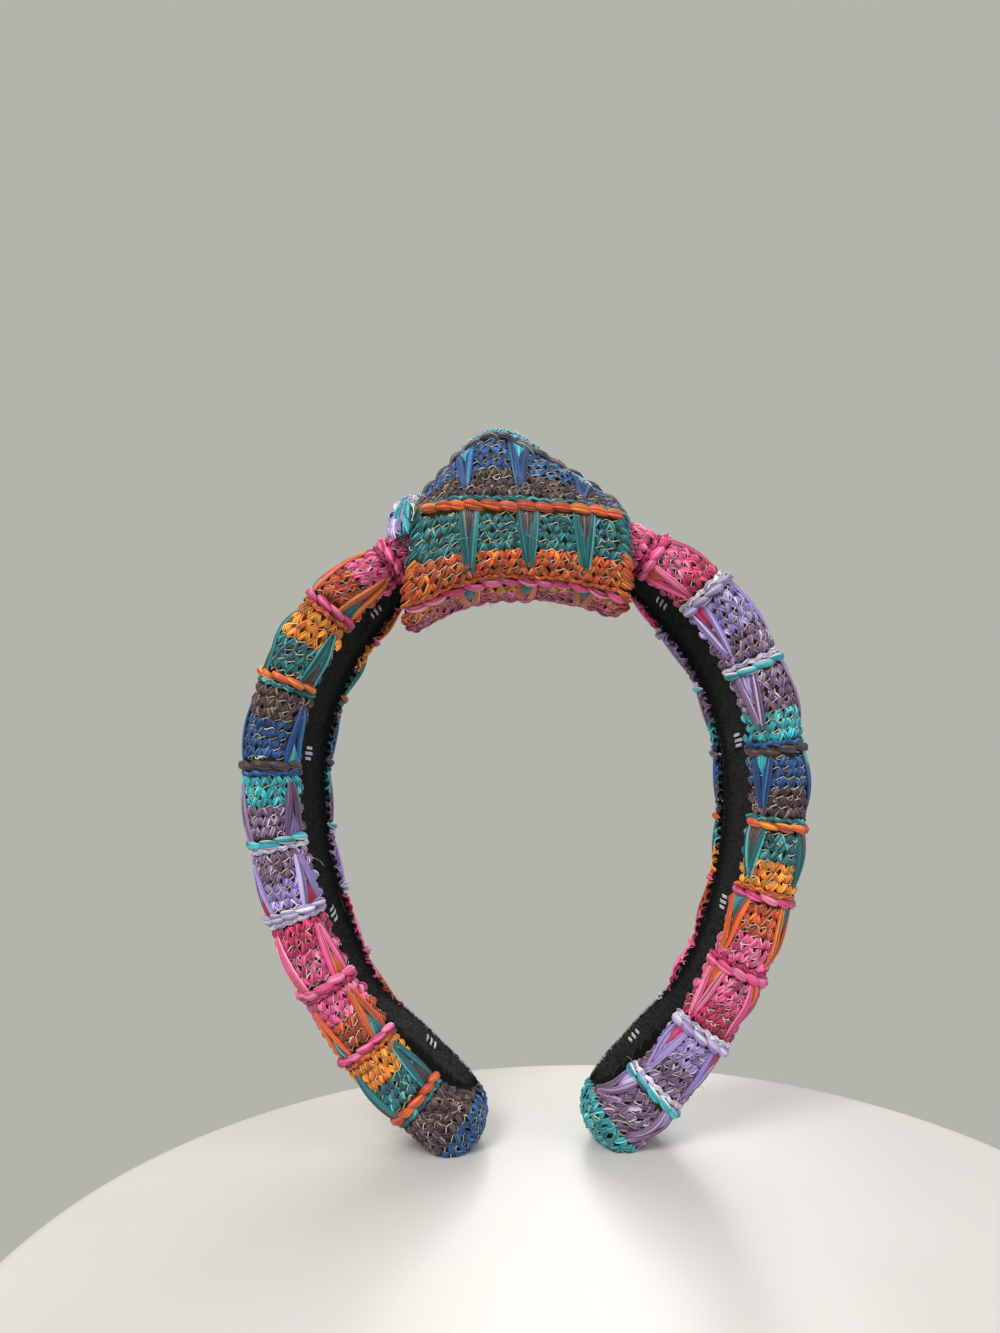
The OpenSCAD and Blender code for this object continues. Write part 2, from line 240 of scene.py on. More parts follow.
def knot(x, u):
    """Points and outward normals of the knot's outer surface; u counts ridges from the peak."""
    x, u = np.broadcast_arrays(np.asarray(x, float), np.asarray(u, float))
    e, g = 0.3, 0.02
    p = knot_raw(x, u)
    dx = knot_raw(x + e, u) - knot_raw(x - e, u)
    du = knot_raw(x, u + g) - knot_raw(x, u - g)
    n = unit(np.cross(du, dx))
    centre = np.stack([x, 0 * x, knot_lines(x)[1] - 4], axis=-1)
    n *= np.sign(((p - centre) * n).sum(-1, keepdims=True) + 1e-12)
    return p + n * soft(p, 0.5)[..., None], n


def soft(p, size):
    """Slow unevenness of hand-made padding."""
    x, y, z = p[..., 0], p[..., 1], p[..., 2]
    return size * (np.sin(x * 0.19 + z * 0.11 + 1.3) * np.sin(y * 0.23 - z * 0.17 + 0.6)
                   + 0.5 * np.sin(x * 0.41 - y * 0.37 + z * 0.29))


# ---------------------------------------------------------------- colours
PALETTE = {
    "pink": [(226, 84, 146), (240, 120, 170), (206, 52, 112), (236, 150, 180)],
    "crimson": [(176, 28, 88), (200, 48, 104), (150, 24, 70), (222, 84, 134)],
    "orange": [(220, 100, 42), (196, 76, 42), (232, 142, 50), (172, 62, 42)],
    "rust": [(178, 66, 42), (204, 84, 44), (150, 52, 42), (222, 120, 56)],
    "gold": [(232, 148, 40), (238, 164, 56), (222, 120, 40), (206, 92, 44)],
    "teal": [(18, 98, 106), (32, 124, 132), (12, 72, 80), (88, 176, 178)],
    "turquoise": [(44, 172, 184), (30, 148, 166), (96, 208, 208), (24, 124, 142)],
    "brown": [(74, 50, 56), (56, 38, 44), (98, 74, 78), (140, 118, 104)],
    "blue": [(28, 78, 142), (22, 58, 114), (50, 116, 172), (18, 46, 92)],
    "lavender": [(156, 136, 204), (176, 160, 216), (134, 112, 184), (206, 198, 230)],
    "mauve": [(122, 92, 134), (140, 110, 150), (100, 76, 108), (190, 178, 206)],
    "white": [(214, 208, 226), (196, 190, 214), (228, 224, 232), (176, 160, 210)],
    "cream": [(224, 212, 186), (206, 190, 160), (236, 228, 210), (190, 176, 150)],
}


def linear(rgb):
    c = np.asarray(rgb, float) / 255
    return np.where(c < 0.04045, c / 12.92, ((c + 0.055) / 1.055) ** 2.4)


LINEAR = {name: linear(colours) for name, colours in PALETTE.items()}
SHARE = np.array([0.42, 0.26, 0.2, 0.12])


def pick(name, n, spread=0.22):
    """n colours of one yarn, each fibre a little different."""
    c = LINEAR[name][rng.choice(4, n, p=SHARE)]
    return c * (1 + spread * rng.standard_normal((n, 1))).clip(0.55, 1.5)


# For each ridge of the fabric: rope, chain beside it, first and second colour of the rows that
# follow, long stitches and the short ones inside them
FABRIC = {
    "O": ("orange", "teal", "teal", "gold", "teal", "brown"),
    "P": ("pink", "orange", "rust", "pink", "orange", "teal"),
    "M": ("pink", "crimson", "pink", "crimson", "pink", "orange"),
    "L": ("lavender", "white", "lavender", "mauve", "lavender", "crimson"),
    "T": ("turquoise", "white", "mauve", "turquoise", "mauve", "lavender"),
    "B": ("brown", "blue", "blue", "brown", "blue", "turquoise"),
}
LEFT_RIDGES = [(-189.8, "O"), (-171.4, "P"), (-152.8, "M"), (-132.9, "L"), (-114.4, "T"),
               (-95.2, "B"), (-74.0, "O"), (-53.2, "P"), (-33.4, "M")]
RIGHT_RIDGES = [(36.6, "M"), (52.9, "L"), (74.0, "T"), (95.2, "B"), (114.4, "O"),
                (132.9, "P"), (152.8, "M"), (171.4, "L"), (189.8, "T")]


# ---------------------------------------------------------------- mesh building
class Yarn:
    """Collects strands, and becomes one mesh."""

    def __init__(self):
        self.points, self.faces, self.colours, self.fibres, self.count = [], [], [], [], 0

    def add(self, p, n, wide, thick, colour, sides=5):
        """Strands along p (strand, step, 3), flattened along the normals n."""
        count, steps = p.shape[:2]
        if not count:
            return
        t = unit(np.gradient(p, axis=1))
        b = unit(np.cross(t, n))
        up = np.cross(b, t)
        wide = np.broadcast_to(wide, (count, steps))[..., None, None]
        thick = np.broadcast_to(thick, (count, steps))[..., None, None]
        phi = np.arange(sides) * 2 * math.pi / sides
        ring = (p[:, :, None] + b[:, :, None] * wide * np.cos(phi)[:, None]
                + up[:, :, None] * thick * np.sin(phi)[:, None])
        base = self.count + np.arange(count)[:, None, None] * steps * sides
        k = np.arange(steps - 1)[None, :, None] * sides
        i = np.arange(sides)[None, None, :]
        j = (i + 1) % sides
        quads = np.stack([base + k + i, base + k + j, base + k + sides + j, base + k + sides + i], -1)
        self.points.append(ring.reshape(-1, 3))
        self.faces.append(quads.reshape(-1, 4))
        self.colours.append(np.repeat(colour, steps * sides, axis=0))
        along = np.cumsum(np.linalg.norm(np.diff(p, axis=1, prepend=p[:, :1]), axis=-1), axis=1)
        tag = rng.random(count)
        fibre = np.zeros((count, steps, sides, 3))
        fibre[..., 0] = along[..., None]
        fibre[..., 1] = np.cos(phi)
        fibre[..., 2] = tag[:, None, None] * 40
        self.fibres.append(fibre.reshape(-1, 3))
        self.count += count * steps * sides

    def bundle(self, p, n, count, spread, wide, thick, name, shade=1.0):
        """count fibres side by side along each line of p; spread is the width they take up."""
        t = unit(np.gradient(p, axis=1))
        b = unit(np.cross(t, n))
        spread = np.broadcast_to(spread, p.shape[:2])
        for k in range(count):
            at = (k / max(count - 1, 1) - 0.5) * spread + 0.06 * rng.standard_normal((len(p), 1))
            up = 0.10 * rng.standard_normal((len(p), 1)) + 0.12 * (k % 2)
            self.add(p + b * at[..., None] + n * up[..., None], n, wide, thick,
                     pick(name, len(p)) * shade)

    def piece(self, name, look, keep_above=None):
        points = np.concatenate(self.points)
        if keep_above is not None:
            points[:, 2] = np.maximum(points[:, 2], keep_above)
        return mesh_piece(name, points, np.concatenate(self.faces), look,
                          np.concatenate(self.colours), np.concatenate(self.fibres))


def mesh_piece(name, points, quads, look, colours, fibres):
    """A mesh object from points in millimetres and quads."""
    me = bpy.data.meshes.new(name)
    me.vertices.add(len(points))
    me.vertices.foreach_set("co", (points * MM).astype(np.float32).ravel())
    me.loops.add(quads.size)
    me.loops.foreach_set("vertex_index", quads.astype(np.int32).ravel())
    me.polygons.add(len(quads))
    me.polygons.foreach_set("loop_start", np.arange(0, quads.size, quads.shape[1], dtype=np.int32))
    me.update(calc_edges=True)
    me.validate()
    layer = me.attributes.new("yarn", "FLOAT_COLOR", "POINT")
    full = np.ones((len(points), 4), np.float32)
    full[:, :3] = colours
    layer.data.foreach_set("color", full.ravel())
    return finished(name, me, look, fibres)


def mesh_from_lists(name, points, faces, look, flat):
    """A mesh whose faces may hold a corner twice; such a face becomes a triangle."""
    me = bpy.data.meshes.new(name)
    clean = [tuple(dict.fromkeys(int(i) for i in face)) for face in faces]
    me.from_pydata((points * MM).tolist(), [], clean)
    me.update()
    return finished(name, me, look, flat)


def finished(name, me, look, fibres):
    layer = me.attributes.new("fibre", "FLOAT_VECTOR", "POINT")
    layer.data.foreach_set("vector", fibres.astype(np.float32).ravel())
    me.shade_smooth()
    ob = bpy.data.objects.new(name, me)
    bpy.context.scene.collection.objects.link(ob)
    me.materials.append(look)
    return ob


def grid_quads(rows, columns, closed=False):
    """Quads of a grid of points, row by row."""
    last = columns if closed else columns - 1
    i, j = np.meshgrid(np.arange(rows - 1), np.arange(last), indexing="ij")
    k = (j + 1) % columns
    return np.stack([i * columns + j, i * columns + k, (i + 1) * columns + k, (i + 1) * columns + j],
                    -1).reshape(-1, 4)


# ---------------------------------------------------------------- materials
def material(name, build):
    """A principled material whose pattern the build function adds."""
    m = bpy.data.materials.new(name)
    m.use_nodes = True
    nodes, links = m.node_tree.nodes, m.node_tree.links
    nodes.clear()
    out = nodes.new("ShaderNodeOutputMaterial")
    bsdf = nodes.new("ShaderNodeBsdfPrincipled")
    links.new(bsdf.outputs[0], out.inputs[0])
    build(nodes, links, bsdf)
    return m


def node(nodes, kind, **settings):
    n = nodes.new("ShaderNode" + kind)
    for key, value in settings.items():
        setattr(n, key, value)
    return n


def ramp(nodes, low, high, dark, light):
    """Maps a pattern from low..high to dark..light."""
    n = node(nodes, "MapRange")
    for key, value in (("From Min", low), ("From Max", high), ("To Min", dark), ("To Max", light)):
        n.inputs[key].default_value = value
    return n


def attribute_noise(nodes, links, name, stretch, scale, detail=3.0):
    """Noise in the coordinates that an attribute holds, stretched along its axes."""
    source = node(nodes, "Attribute", attribute_name=name)
    shape = node(nodes, "VectorMath", operation="MULTIPLY")
    shape.inputs[1].default_value = stretch
    noise = node(nodes, "TexNoise")
    noise.inputs["Scale"].default_value = scale
    noise.inputs["Detail"].default_value = detail
    links.new(source.outputs["Vector"], shape.inputs[0])
    links.new(shape.outputs[0], noise.inputs["Vector"])
    return noise


def solid_pattern(nodes, links, kind, scale):
    """A pattern in the object's own coordinates."""
    coords = node(nodes, "TexCoord")
    pattern = node(nodes, kind)
    pattern.inputs["Scale"].default_value = scale
    links.new(coords.outputs["Object"], pattern.inputs["Vector"])
    return pattern


def plain(nodes, colour):
    base = node(nodes, "RGB")
    base.outputs[0].default_value = (*colour, 1)
    return base.outputs[0]


def tinted(nodes, links, bsdf, colour, pattern, low, high, dark, light):
    """Base colour darkened and lightened by a pattern."""
    shade = ramp(nodes, low, high, dark, light)
    links.new(pattern, shade.inputs["Value"])
    tint = node(nodes, "MixRGB", blend_type="MULTIPLY")
    tint.inputs[0].default_value = 1.0
    links.new(colour, tint.inputs[1])
    links.new(shade.outputs[0], tint.inputs[2])
    links.new(tint.outputs[0], bsdf.inputs["Base Color"])


def bumped(nodes, links, bsdf, height_socket, strength, distance):
    bump = node(nodes, "Bump")
    bump.inputs["Strength"].default_value = strength
    bump.inputs["Distance"].default_value = distance
    links.new(height_socket, bump.inputs["Height"])
    links.new(bump.outputs[0], bsdf.inputs["Normal"])


def streaked(nodes, links, bsdf, stretch, scale, high, dark, light):
    """The yarn's own colour with streaks along its fibres."""
    colour = node(nodes, "Attribute", attribute_name="yarn")
    streak = attribute_noise(nodes, links, "fibre", stretch, scale)
    tinted(nodes, links, bsdf, colour.outputs["Color"], streak.outputs["Fac"], 0.3, high, dark, light)
    return streak


def raffia(nodes, links, bsdf):
    streak = streaked(nodes, links, bsdf, (0.22, 3.2, 1.0), 1.6, 0.72, 0.62, 1.25)
    rough = ramp(nodes, 0.3, 0.7, 0.32, 0.52)
    links.new(streak.outputs["Fac"], rough.inputs["Value"])
    links.new(rough.outputs[0], bsdf.inputs["Roughness"])
    bsdf.inputs["Specular IOR Level"].default_value = 0.55
    bsdf.inputs["Sheen Weight"].default_value = 0.12
    bumped(nodes, links, bsdf, streak.outputs["Fac"], 0.45, 0.0002)


def thread(nodes, links, bsdf):
    streak = streaked(nodes, links, bsdf, (1.4, 2.0, 1.0), 2.2, 0.72, 0.75, 1.15)
    bsdf.inputs["Roughness"].default_value = 0.62
    bumped(nodes, links, bsdf, streak.outputs["Fac"], 0.4, 0.0001)


def woven(colour, weave):
    """Plain cloth whose threads follow the fibre attribute's first two axes, in millimetres."""
    def build(nodes, links, bsdf):
        source = node(nodes, "Attribute", attribute_name="fibre")
        waves = []
        for direction in ("X", "Y"):
            wave = node(nodes, "TexWave", bands_direction=direction)
            wave.inputs["Scale"].default_value = weave
            wave.inputs["Distortion"].default_value = 0.6
            wave.inputs["Detail"].default_value = 1.0
            links.new(source.outputs["Vector"], wave.inputs["Vector"])
            waves.append(wave)
        cross = node(nodes, "Math", operation="MULTIPLY")
        links.new(waves[0].outputs["Fac"], cross.inputs[0])
        links.new(waves[1].outputs["Fac"], cross.inputs[1])
        tinted(nodes, links, bsdf, plain(nodes, linear(colour)), cross.outputs[0], 0.0, 0.8, 0.55, 1.1)
        bsdf.inputs["Roughness"].default_value = 0.85
        bumped(nodes, links, bsdf, cross.outputs[0], 0.5, 0.0002)
    return build


def velvet(nodes, links, bsdf):
    noise = attribute_noise(nodes, links, "fibre", (1.0, 1.0, 1.0), 5.0, 5.0)
    black = plain(nodes, (0.0045, 0.0060, 0.0062))
    tinted(nodes, links, bsdf, black, noise.outputs["Fac"], 0.3, 0.7, 0.6, 1.5)
    bsdf.inputs["Roughness"].default_value = 0.95
    bsdf.inputs["Specular IOR Level"].default_value = 0.12
    bsdf.inputs["Sheen Weight"].default_value = 0.10
    bsdf.inputs["Sheen Roughness"].default_value = 0.35
    bumped(nodes, links, bsdf, noise.outputs["Fac"], 0.7, 0.0004)


def foam(nodes, links, bsdf):
    cells = solid_pattern(nodes, links, "TexVoronoi", 900)
    cream = plain(nodes, (0.62, 0.58, 0.46))
    tinted(nodes, links, bsdf, cream, cells.outputs["Distance"], 0.0, 0.6, 0.7, 1.1)
    bsdf.inputs["Roughness"].default_value = 0.9
    bumped(nodes, links, bsdf, cells.outputs["Distance"], 0.6, 0.0005)


def moulded(nodes, links, bsdf):
    grain = solid_pattern(nodes, links, "TexNoise", 1500)
    black = plain(nodes, (0.02, 0.02, 0.022))
    tinted(nodes, links, bsdf, black, grain.outputs["Fac"], 0.3, 0.7, 0.8, 1.2)
    bsdf.inputs["Roughness"].default_value = 0.5
    bumped(nodes, links, bsdf, grain.outputs["Fac"], 0.3, 0.0001)


def pile_look(nodes, links, bsdf):
    streaked(nodes, links, bsdf, (1.0, 1.0, 1.0), 1.0, 0.7, 0.7, 1.3)
    bsdf.inputs["Roughness"].default_value = 0.8
    bsdf.inputs["Specular IOR Level"].default_value = 0.2


RAFFIA = material("raffia", raffia)
THREAD = material("thread", thread)
CLOTH = material("backing_cloth", woven((150, 134, 84), 1.7))
VELVET = material("velvet", velvet)
FOAM = material("foam", foam)
PLASTIC = material("core_plastic", moulded)
PILE = material("velvet_pile", pile_look)


# ---------------------------------------------------------------- stitches
STITCH_LOW, STITCH_RISE = -1.25, 1.45  # a stitch's ends below the surface, and its arch


def crochet(yarn, threads, surface, rows, columns, names, tall):
    """Rows of zigzag stitches on a surface.

    rows is a list of (start, end) in the surface's first or second coordinate, columns the edges
    of the columns in the other, names the yarn of each row, and tall says that the rows run
    across the first coordinate.
    """
    def lay(along, across):
        return surface(along, across) if tall else surface(across, along)

    steps = np.linspace(0, 1, 5)
    for number, ((a0, a1), name) in enumerate(zip(rows, names)):
        lighter = 1 + 0.10 * rng.standard_normal()
        shift = 0.5 * (number % 2)
        edges = np.asarray(columns)
        width = edges[1] - edges[0]
        base = edges[:-1] + shift * width
        for lean in (0, 1):
            b0 = base + (0.0 if lean == 0 else 0.5) * width
            n = len(b0)
            jitter = rng.normal(0, 0.10, (3, n, 1))
            t = -0.14 + 1.28 * steps
            across = b0[:, None] + (t * 0.5 + jitter[0] * 0.6) * width
            up = t if lean == 0 else 1 - t
            along = a0 + (a1 - a0) * (up + jitter[1])
            p, nrm = lay(along, across)
            arch = STITCH_LOW + STITCH_RISE * np.sin(math.pi * steps) ** 0.7 + 0.18 * lean
            p = p + nrm * (arch + 0.12 * jitter[2])[..., None]
            wide = 0.27 * (0.5 + 0.5 * np.sin(math.pi * steps) ** 0.5) + 0 * along
            stitch = lighter * (1 + 0.2 * rng.standard_normal((n, 1))).clip(0.6, 1.6)
            yarn.bundle(p, nrm, 4, 1.05, wide, wide * 0.8, name, shade=stitch)
        loops(threads, lay, base, width, a0, a1)


def loops(threads, lay, base, width, a0, a1):
    """Fine pale threads that curl out between the stitches."""
    keep = base[rng.random(len(base)) < 0.7]
    n = len(keep)
    turn = np.linspace(-1.9, 1.9, 7)
    size = rng.uniform(0.2, 0.42, (n, 1))
    across = keep[:, None] + width * (0.5 * (rng.random((n, 1)) < 0.5) + size * np.sin(turn))
    along = a0 + (a1 - a0) * (rng.uniform(-0.1, 0.3, (n, 1)) + size * np.cos(turn))
    p, nrm = lay(along, across)
    p = p + nrm * (-0.55 + 0.75 * np.cos(turn / 2) + rng.normal(0, 0.1, (n, 1)))[..., None]
    threads.add(p, nrm, 0.11, 0.09, pick("cream", n), 4)
    keep = base[rng.random(len(base)) < 0.7]
    n = len(keep)
    t = np.linspace(0, 1, 5)
    across = keep[:, None] + width * (t * 1.1 - 0.05)
    along = a0 + (a1 - a0) * (0.16 * np.sin(math.pi * 2 * t) + rng.uniform(-0.1, 0.1, (n, 1)))
    p, nrm = lay(along, across)
    p = p + nrm * (-0.4 + 0.85 * np.sin(math.pi * t) + rng.normal(0, 0.12, (n, 1)))[..., None]
    threads.add(p, nrm, 0.11, 0.09, pick("cream", n), 4)


def rope(yarn, line, count, long, wide, tall, names, fibres=6, slant=0.75, lift=0.8):
    """Plump slanted links, each tucked under the next. line(t, side) gives points and normals for
    t along the ridge in millimetres and side across it."""
    steps = np.linspace(0, 1, 8)
    start = (np.arange(count) - 0.15) * long
    t = start[:, None] + steps * long * 1.5 + rng.normal(0, 0.14, (count, 1))
    side = slant * (steps - 0.5) * 2 + rng.normal(0, 0.12, (count, 1))
    p, n = line(t, side)
    swell = np.sin(math.pi * steps) ** 0.75
    rise = -0.8 + (lift + 0.8) * np.sin(math.pi * steps) ** 0.8
    p = p + n * (rise + 0.12 * rng.standard_normal((count, 1)))[..., None]
    tangent = unit(np.gradient(p, axis=1))
    b = unit(np.cross(tangent, n))
    for k in range(fibres):
        phi = 2 * math.pi * k / fibres + 0.9 * steps + rng.uniform(0, 0.5, (count, 1))
        q = (p + b * (wide * swell * np.cos(phi))[..., None] + n * (tall * swell * np.sin(phi))[..., None])
        yarn.add(q, n, 0.16 + 0.42 * swell, 0.12 + 0.3 * swell, pick(names[k % len(names)], count), 6)


def zigzag(yarn, line, count, long, side, half, name, fibres=3, lift=0.35):
    """A flat chain of slanted links beside a ridge."""
    steps = np.linspace(0, 1, 6)
    for lean in (-1, 1):
        start = (np.arange(count) + (0 if lean < 0 else 0.5)) * long
        t = start[:, None] + (steps * 0.95 - 0.2) * long + rng.normal(0, 0.1, (count, 1))
        across = side + lean * half * (steps - 0.5) * 2 + rng.normal(0, 0.06, (count, 1))
        p, n = line(t, across)
        p = p + n * (-0.6 + (lift + 0.6) * np.sin(math.pi * steps) ** 0.8)[..., None]
        wide = 0.17 + 0.15 * np.sin(math.pi * steps) + 0 * t
        yarn.bundle(p, n, fibres, 0.8, wide, wide * 0.85, name)


def spike(yarn, line, long, half, name, inner, inner_part=0.5):
    """Long V stitches: line(t, side) for t along the spike from its ridge and side across it."""
    steps = np.linspace(0, 1, 11)
    swell = np.sin(math.pi * np.clip(steps * 0.93 + 0.07, 0, 1)) ** 0.5
    leaf = np.sin(math.pi * np.clip(steps * 0.84 + 0.16, 0, 1)) ** 0.6
    for lean in (-1, 1):
        for k in range(7):
            share = (k + 0.5) / 7 - 0.5
            middle = half * 0.76 * (1 - steps) + 0.3
            side = lean * (middle + half * 0.72 * share * leaf)
            t = long * (0.93 + 0.14 * share) * steps + rng.normal(0, 0.15)
            p, n = line(t[None], (side + 0.06 * rng.standard_normal())[None])
            up = -0.4 + (1.25 + 0.25 * rng.random() - 1.2 * share ** 2) * swell
            yarn.add(p + n * up[None, :, None], n, 0.14 + 0.2 * swell[None], 0.1 + 0.2 * swell[None],
                     pick(name, 1, 0.3) * (1.0 + 0.5 * share), 5)
    for k in range(6):
        share = (k + 0.5) / 6 * 2 - 1
        side = half * 0.74 * share * (1 - steps) ** 0.9
        t = long * inner_part * (1 - 0.24 * abs(share)) * steps
        p, n = line(t[None], side[None])
        up = -0.3 + 1.0 * swell
        yarn.add(p + n * up[None, :, None], n, 0.13 + 0.26 * swell[None], 0.1 + 0.2 * swell[None],
                 pick(inner, 1, 0.2), 5)


# ---------------------------------------------------------------- the arms
GIRTH = 70.0  # distance round the crochet, from one edge of the lining to the other
COLUMNS = 25
ROWS = 7
ROW_STEP = 2.55
COVER_JOIN, PAD_JOIN = 17.5, 18.0  # where an arm's cover and its padding start, along the band
CROWN_PAD = 17.6  # half length of the crown's padding and lining
SPIKE_PLACES = (0.07, 0.285, 0.50, 0.715, 0.93)
SPIKE_LEN = 17.1
INNER_PART = {"O": 0.55, "B": 0.36}
ARM_ROPES = {"L": ["lavender", "white"], "T": ["turquoise", "turquoise", "white"],
             "P": ["pink", "pink", "crimson"]}
FLOOR_GAP = 0.05


def stitch_blocks(ridges, first, last):
    """Stretches between ridges, as (start, end, ridge that starts it)."""
    order = "OPMLTB"
    blocks = [(first, ridges[0][0], order[order.index(ridges[0][1]) - 1])]
    for (a, kind), (b, _) in zip(ridges, ridges[1:]):
        blocks.append((a, b, kind))
    blocks.append((ridges[-1][0], last, ridges[-1][1]))
    return blocks


def ride_arm(piece):
    """Bakes the piece's placement into its mesh."""
    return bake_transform(piece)


def attach(piece, side, slot, *replaced):
    """Puts a crown piece on the crown's body, bakes an arm piece into place, and hides the CAD nodes it
    stands for; slot is not used.
    """
    if side:
        ride_arm(piece)
    else:
        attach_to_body(piece, "crown")
    if replaced:
        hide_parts(*replaced)


def band_line(s):
    """Lines across the band at distance s: t across it from the near edge, side along it."""
    def line(t, side):
        return band(s + side, np.clip(t / GIRTH, 0.0, 1.0))
    return line


def build_arm(side, ridges):
    tip = ARM_END + CAP_LEN
    near, far = (-tip, -COVER_JOIN) if side == "left" else (COVER_JOIN, tip)
    blocks = stitch_blocks(ridges, near, far)
    stitches = []
    threads = Yarn()
    edges = np.linspace(0, 1, COLUMNS + 1)
    for group in range(0, len(blocks), 3):
        yarn = Yarn()
        for a, b, kind in blocks[group:group + 3]:
            first, second = FABRIC[kind][2:4]
            gap_a = 0.3 if a == near else 1.7
            gap_b = 0.3 if b == far else 2.6
            count = max(2, int(round((b - a - gap_a - gap_b) / ROW_STEP)))
            cuts = np.linspace(a + gap_a, b - gap_b, count + 1)
            rows = list(zip(cuts[:-1], cuts[1:]))
            lead = count // 2 if side == "left" and a == near else (count + 1) // 2
            names = [first] * lead + [second] * (count - lead)
            crochet(yarn, threads, band, rows, edges, names, True)
        stitches.append(yarn.piece(f"{side}_stitches_{group // 3 + 1}", RAFFIA, FLOOR_GAP))
    cords, long = Yarn(), Yarn()
    for s, kind in ridges:
        rope_name, chain, _, _, spikes, short = FABRIC[kind]
        line = band_line(s)
        size = (0.78, 0.64) if kind in "LM" else (0.6, 0.5)
        rope(cords, line, 15, GIRTH / 15.2, *size, ARM_ROPES.get(kind, [rope_name]))
        zigzag(cords, line, 20, GIRTH / 20.3, -1.75, 0.5, chain)
        next_s = min([b for b, _ in ridges if b > s] + [far])
        for u in SPIKE_PLACES:
            at = u + rng.normal(0, 0.012)
            spike(long, lambda t, v, at=at, s=s: band(s + 0.6 + t, np.clip(at + v / GIRTH, 0.005, 0.995)),
                  min(next_s - s - 2.4, SPIKE_LEN, ARM_END + 2 - s), 2.6, spikes, short,
                  INNER_PART.get(kind, 0.45))
    ridge_piece = cords.piece(f"{side}_ridge_cords", RAFFIA, FLOOR_GAP)
    long_piece = long.piece(f"{side}_long_stitches", RAFFIA, FLOOR_GAP)
    thread_piece = threads.piece(f"{side}_fine_threads", THREAD, FLOOR_GAP)
    for piece in stitches:
        attach(piece, side, "raffia_crochet")
    attach(ridge_piece, side, "raffia_ridge", f"{side}_ridges")
    attach(long_piece, side, "raffia_crochet")
    attach(thread_piece, side, "raffia_crochet")
    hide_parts(f"{side}_cover")
    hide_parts(f"{side}_tip_fold")


BED_H = 3.4  # height of the padding's flat face above the lining's face


def build_padding(name, first, last, nodes, side):
    """The foam and its backing cloth under the stitches, closed along the lining's channel."""
    s_values = np.linspace(first, last, int(abs(last - first) / 1.6) + 2)
    u_values = np.linspace(0, 1, 45)
    s, u = np.meshgrid(s_values, u_values, indexing="ij")
    p, n = band(s, u)
    outer = p - n * 1.75
    d = np.minimum(np.abs(s_values), ARM_END)
    half, dome, roll, _, _ = section(d)
    bed = []
    for k in range(5):
        v = (half * CHANNEL_PART - 0.1) * (1 - 2 * k / 4)
        over = np.clip((np.abs(s_values) - ARM_END) / CAP_LEN, 0, 1)
        q = np.sin(math.radians(88) * over)
        f = (1 - q ** TIP_END_POWER) ** (1 / TIP_END_POWER)
        mid = (dome - roll) / 2
        low = np.where(over > 0, mid + (BED_H - mid) * f, BED_H)
        bed.append(place(np.sign(s_values) * d, v * f, low, TIP_ROUND * q))
    points = np.concatenate([outer, np.stack(bed, axis=1)], axis=1)
    rows, columns = points.shape[:2]
    points[..., 2] = np.maximum(points[..., 2], 0.3)
    quads = grid_quads(rows, columns, closed=True)
    flat = np.zeros((rows, columns, 3))
    flat[..., 0] = s_values[:, None]
    flat[..., 1] = np.linspace(0, GIRTH, columns)
    points = points.reshape(-1, 3)
    flat = flat.reshape(-1, 3)
    for end, order in ((0, 1), (rows - 1, -1)):
        ring = points[end * columns:(end + 1) * columns]
        points = np.concatenate([points, ring.mean(0)[None]])
        flat = np.concatenate([flat, flat[end * columns][None]])
        hub = len(points) - 1
        i = end * columns + np.arange(columns)
        j = end * columns + (np.arange(columns) + 1) % columns
        fan = np.stack([i, j, np.full(columns, hub), np.full(columns, hub)], -1)[:, ::order]
        quads = np.concatenate([quads, fan])
    piece = mesh_from_lists(name, points, quads, CLOTH, flat)
    attach(piece, side, "backing_cloth", *nodes)


def near_tip(s):
    """Rises from 0 to 1 over the last stretch of an arm."""
    return ease((np.abs(s) - ARM_END + 40) / 24)


def lining_half(s):
    return section(np.abs(s))[0] * CHANNEL_PART + 0.15 + 1.3 * near_tip(s)


def lining_rise(s):
    """How far the lining stands proud, so that it lies over the stitches at a tip."""
    return TONGUE * near_tip(s)


LINING_END = 9.5  # radius of the lining's rounded end


